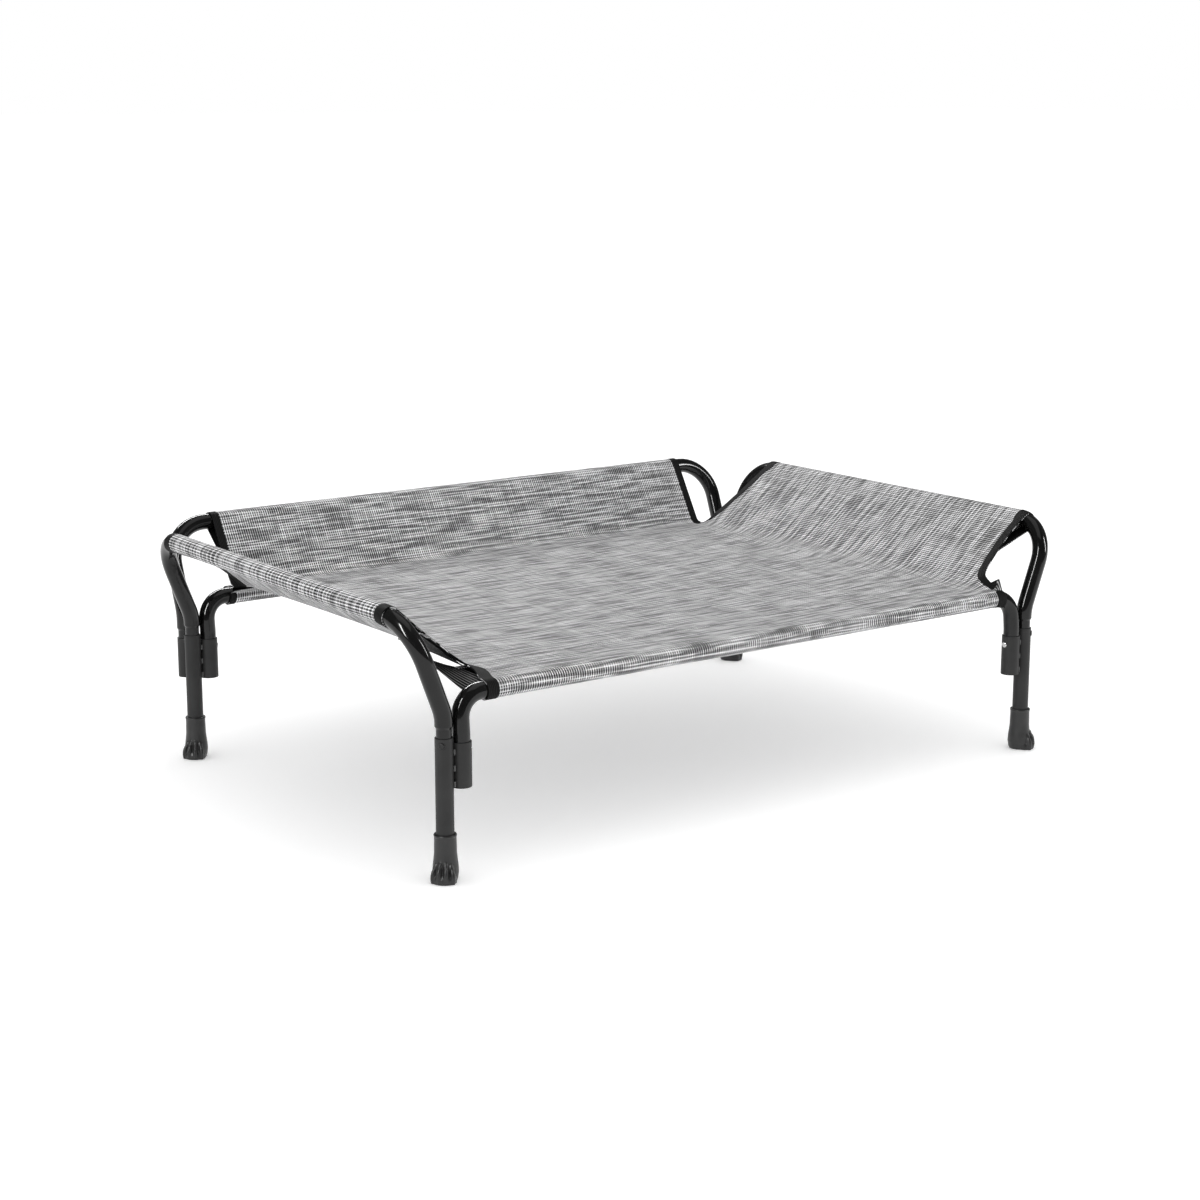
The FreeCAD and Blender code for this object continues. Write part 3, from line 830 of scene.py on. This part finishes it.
def tape_webbing(name, pitch, highlight_start, highlight_full, crest_highlight):
    """Lengthwise ribs with the fine cross threads of narrow woven tape; the rib crests are
    painted lighter as a painted highlight.
    """
    webbing, tree, shader = new_material(name)
    shader.inputs["Roughness"].default_value = 0.62
    shader.inputs["Specular IOR Level"].default_value = 0.09
    place = tree.nodes.new("ShaderNodeUVMap")
    place.uv_map = "tape"
    ribs = tree.nodes.new("ShaderNodeTexWave")
    ribs.wave_type = "BANDS"
    ribs.bands_direction = "Y"
    ribs.inputs["Scale"].default_value = 2 * math.pi / (20 * pitch)
    ribs.inputs["Distortion"].default_value = 0.0
    link(tree, place, "UV", ribs, "Vector")
    threads = tree.nodes.new("ShaderNodeTexWave")
    threads.wave_type = "BANDS"
    threads.bands_direction = "X"
    threads.inputs["Scale"].default_value = 2 * math.pi / (20 * cross_thread)
    threads.inputs["Distortion"].default_value = 0.4
    link(tree, place, "UV", threads, "Vector")
    # Painted highlight: near black in the rib hollows, rising to the crest colour on the rib
    # crests.
    tint = ramp(tree, ribs, "Fac", [(highlight_start, grey(0.003)), (highlight_full, grey(crest_highlight))])
    link(tree, tint, "Color", shader, "Base Color")
    height = tree.nodes.new("ShaderNodeMath")
    height.operation = "MULTIPLY_ADD"
    link(tree, threads, "Fac", height, 0)
    height.inputs[1].default_value = 0.25
    link(tree, ribs, "Fac", height, 2)
    relief(tree, height, 0, shader, 0.7, 0.0005)
    return webbing


# The binding's rib crests get only a faint painted highlight.
webbing = tape_webbing("ribbed_webbing", 0.0024, 0.1, 0.8, 0.012)


def edge_curve(corner):
    """The hollow's cut edge on the flat cloth, from the raised rail's seam to the low rail's."""
    cut = hollow[corner]
    side = cut["side"]
    apex_x = crease_x + cut["apex"][0]
    far = side_touch + wrap_length + seam_reach - tape_end_gap
    points = [(side * x, panel_edge(corner, x)) for x in spaced(far, apex_x, fine_pitch)]
    apex_y = points[-1][1]
    if cut["end"] < 0:
        last = front_y - wrap_length - seam_reach + tape_end_gap
    else:
        last = back_touch + wrap_length + seam_reach - tape_end_gap
    points += [(strip_edge(corner, y), y) for y in spaced(apex_y, last, fine_pitch)[1:]]
    for turn in range(3):
        middle = [
            ((a[0] + 2 * b[0] + c[0]) / 4, (a[1] + 2 * b[1] + c[1]) / 4)
            for a, b, c in zip(points, points[1:], points[2:])
        ]
        points = [points[0]] + middle + [points[-1]]
    return points


def inward(points, index):
    """Unit direction from a cut edge into the cloth."""
    first = points[max(0, index - 2)]
    second = points[min(len(points) - 1, index + 2)]
    run = (second[0] - first[0], second[1] - first[1])
    length = math.hypot(*run)
    left = (-run[1] / length, run[0] / length)
    here = points[index]
    centre = (-here[0], -here[1])
    sign = 1 if left[0] * centre[0] + left[1] * centre[1] > 0 else -1
    return (sign * left[0], sign * left[1])


def tape_width(corner, x, y):
    """The tape shows full width round the rails and is caught deeper along the hollow."""
    near_rail = smooth((abs(x) - side_touch + 0.020) / 0.016)
    if hollow[corner]["end"] > 0:
        near_low = 0.0
    elif corner == "front_left":
        near_low = smooth((front_y + 0.062 - y) / 0.020)
    else:
        near_low = smooth((front_y + 0.010 - y) / 0.020)
    width = tape_narrow + tape_extra * max(near_rail, near_low)
    if corner == "front_left":
        width += tape_left_extra * smooth((y - front_y - 0.004) / 0.050) * (1 - near_rail)
    return width


def tube_faces(rows, count):
    """Faces of a closed tube of rings that each have count points, with its two ends."""
    faces = []
    for row in range(rows - 1):
        for step in range(count):
            a, b = row * count + step, row * count + (step + 1) % count
            faces.append((a, b, b + count, a + count))
    faces.append(tuple(reversed(range(count))))
    faces.append(tuple(range((rows - 1) * count, rows * count)))
    return faces


def face_outwards(piece):
    select_only(piece)
    bpy.ops.object.mode_set(mode="EDIT")
    bpy.ops.mesh.select_all(action="SELECT")
    bpy.ops.mesh.normals_make_consistent(inside=False)
    bpy.ops.object.mode_set(mode="OBJECT")
    bpy.ops.object.shade_smooth_by_angle(angle=math.radians(50))


def binding_tape(corner):
    points = edge_curve(corner)
    shares = (1.0, 0.965, 0.83, 0.65, 0.43, 0.26, 0.09, 0.0)
    vertices, marks = [], []
    travel = 0.0
    for index, here in enumerate(points):
        if index:
            travel += math.dist(points[index - 1], here)
        toward = inward(points, index)
        side_end_of_grip = side_touch + wrap_length + rail_margin
        on_rail = (side_touch - rail_margin < abs(here[0]) < side_end_of_grip
                   or front_y - wrap_length - rail_margin < here[1] < front_y + 0.002
                   or here[1] > back_touch - rail_margin)
        under = 0.0001 if on_rail else tape_half
        depths = [tape_width(corner, *here) * share for share in shares]
        for face in (1, -1):
            for depth in depths[::face]:
                x, y = here[0] + toward[0] * depth, here[1] + toward[1] * depth
                place, normal = drape(x, y), outward(x, y)
                bevel = 0.55 if depth == depths[0] else 1.0
                if depth == 0.0:
                    bevel = 0.6
                if face > 0:
                    vertices.append(place + normal * (cloth_thickness + tape_half * bevel))
                else:
                    vertices.append(place - normal * (under * bevel))
                marks.append((travel, depth))
    faces = tube_faces(len(points), 2 * len(shares))
    tape = cloth_piece("binding_tape_" + corner, vertices, faces, "tape", marks)
    face_outwards(tape)
    tape.data.materials.append(webbing)
    return tape


for corner in corner_names:
    tape = binding_tape(corner)
    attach(tape, "frame")
    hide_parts("binding_" + corner)


# Back loop: a strip of the same mesh folded round the back low rail and sewn up under the
# back crease, so that the rail holds the crease down.
loop_half = 0.4265
loop_tape_radius = 0.0126
loop_tape_columns = (0.4190, 0.4194, 0.4220, 0.4250, 0.4276, 0.4280)
loop_first_turn = 152
loop_full_turn = 286


def loop_outline(radius):
    """From the mat's reverse in front of the rail, down and round the rail to the crease."""
    under_mat = mat_z - back_low_axis.z
    outline = [(-0.024, under_mat - 0.0004), (-0.017, under_mat - 0.0030)]
    for step in range(19):
        turn = math.radians(loop_first_turn + loop_full_turn * step / 18)
        outline.append((radius * math.cos(turn), radius * math.sin(turn)))
    return outline


def fold_round(name, outline, columns, map_name):
    """A strip that follows the outline, and the outline's length."""
    points, flat, faces = [], [], []
    travel = 0.0
    for index, (forward, up) in enumerate(outline):
        if index:
            travel += math.dist(outline[index - 1], outline[index])
        for x in columns:
            points.append((x, back_low_axis.y + forward, back_low_axis.z + up))
            flat.append((x, travel) if map_name == "weave" else (travel, x))
    width = len(columns)
    for row in range(len(outline) - 1):
        for step in range(width - 1):
            a = row * width + step
            faces.append((a + width, a + width + 1, a + 1, a))
    return cloth_piece(name, points, faces, map_name, flat), travel


rail_loop, loop_length = fold_round("back_rail_loop", loop_outline(wrap_radius),
                                    spaced(-loop_half, loop_half, field_pitch), "weave")
thicken(rail_loop, cloth_thickness)
rail_loop.data.materials.append(sling_cover.data.materials[0])
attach(rail_loop, "frame")
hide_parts("sleeve_back_low")

for side, name in ((-1, "loop_binding_left"), (1, "loop_binding_right")):
    columns = sorted(side * x for x in loop_tape_columns)
    loop_end = fold_round(name, loop_outline(loop_tape_radius), columns, "tape")[0]
    thicken(loop_end, 0.0009)
    loop_end.data.materials.append(webbing)
    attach(loop_end, "frame")


# Corner straps: at each front corner a ribbed webbing strap runs from under the front rail
# back to the cloth, with a webbing patch sewn over the reverse of the side panel's corner.
strap_thickness = 0.0014
strap_inner_x = 0.4140
strap_outer_x = 0.4400
strap_start = 0.0140         # behind the front rail's axis
strap_length = 0.100
strap_inner_z = (0.2345, 0.2315)
strap_outer_front_z = 0.2180
patch_far = 0.100            # past the crease the patch runs out here
patch_narrow = 0.016
patch_spread = 0.140
patch_depth = 0.0018         # below the reverse of the cloth
patch_rows = 14
# The strap's rib crests are painted up to 0.16 grey: painted highlights along its ribs.
strap_webbing = tape_webbing("strap_webbing", 0.0034, 0.62, 0.96, 0.16)


def corner_strap(name, side, outer_rear_z):
    """Its inner edge is sewn under the crease; its outer edge rises to the rear."""
    line = []
    for step in range(17):
        share = step / 16
        y = front_y + strap_start + strap_length * share
        front_z, rear_z = strap_inner_z
        inner_z = front_z + (rear_z - front_z) * smooth((share - 0.5) / 0.5)
        outer_z = strap_outer_front_z + (outer_rear_z - strap_outer_front_z) * share
        line.append((Vector((side * strap_inner_x, y, inner_z)),
                     Vector((side * strap_outer_x, y, outer_z))))
    section = ((0.0, 0), (0.03, 1), (0.97, 1), (1.0, 0), (0.97, -1), (0.03, -1))
    vertices, marks = [], []
    travel = 0.0
    for index, (inner, outer) in enumerate(line):
        if index:
            travel += (inner - line[index - 1][0]).length
        across = outer - inner
        lift = Vector((0.0, 1.0, 0.0)).cross(across).normalized() * (strap_thickness / 2)
        for share, up in section:
            vertices.append(inner + across * share + lift * up)
            marks.append((travel, share * across.length))
    strap = cloth_piece(name, vertices, tube_faces(len(line), len(section)), "tape", marks)
    face_outwards(strap)
    strap.data.materials.append(strap_webbing)
    return strap


def corner_patch(name, side, corner):
    """It follows the hollow's cut edge and narrows up the side panel."""
    apex_x = crease_x + hollow[corner]["apex"][0]
    near, far = apex_x - (0.008 if side < 0 else 0.004), crease_x + patch_far
    columns = spaced(near, far, 0.008)
    points, marks, faces = [], [], []
    for x in columns:
        share = (x - near) / (far - near)
        first = panel_edge(corner, max(x, apex_x)) + 0.006
        last = first + patch_narrow + patch_spread * (1 - share) ** 1.2
        for step in range(patch_rows + 1):
            y = first + (last - first) * step / patch_rows
            points.append(drape(side * x, y) - outward(side * x, y) * patch_depth)
            marks.append((x, y))
    for column in range(len(columns) - 1):
        for step in range(patch_rows):
            a = column * (patch_rows + 1) + step
            b = a + patch_rows + 1
            faces.append((a, b, b + 1, a + 1))
    patch = cloth_piece(name, points, faces, "tape", marks)
    thicken(patch, 0.0011)
    face_outwards(patch)
    patch.data.materials.append(webbing)
    return patch


for side, hand, strap_rear_z in ((-1, "left", 0.2430), (1, "right", 0.2250)):
    strap = corner_strap("corner_strap_" + hand, side, strap_rear_z)
    patch = corner_patch("corner_patch_" + hand, side, "front_" + hand)
    for trim in (strap, patch):
        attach(trim, "frame")
